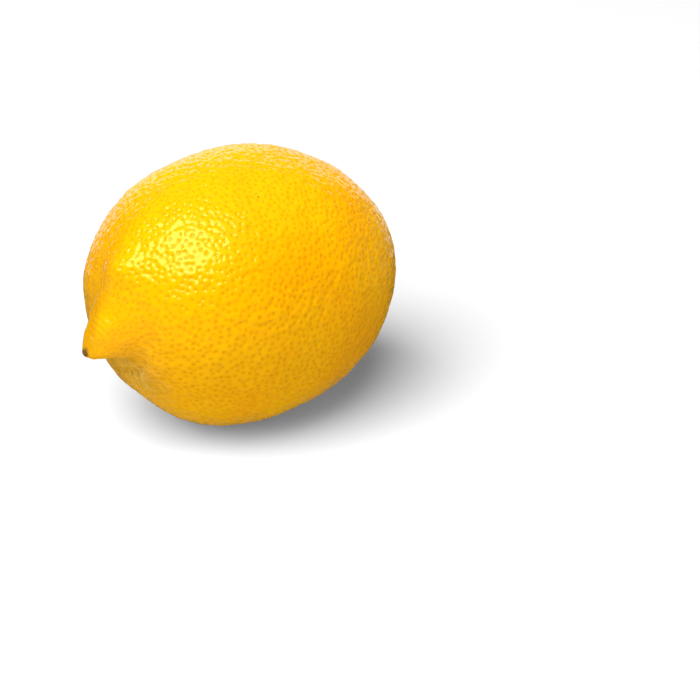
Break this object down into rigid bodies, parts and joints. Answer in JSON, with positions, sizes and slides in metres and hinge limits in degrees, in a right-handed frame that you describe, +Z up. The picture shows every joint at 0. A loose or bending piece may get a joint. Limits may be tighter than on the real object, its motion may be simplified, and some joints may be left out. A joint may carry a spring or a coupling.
{
  "type": "lemon",
  "caption": "Whole lemon that lies on its side, with a pointed nipple at one end and a woody stem button at the other.",
  "frame": {"origin": "on the surface that the lemon rests on, under the middle of its box", "axes": "+X along the fruit from the nipple at the blossom end to the stem button, +Z up, with the flat spot facing -Z"},
  "size_m": [0.08, 0.06, 0.0594],
  "materials": {
    "lemon_peel": "satin",
    "dry_stem": "matte"
  },
  "bodies": {
    "root": {"fruit": "lemon_peel", "stem_button": "dry_stem"}
  },
  "joints": []
}
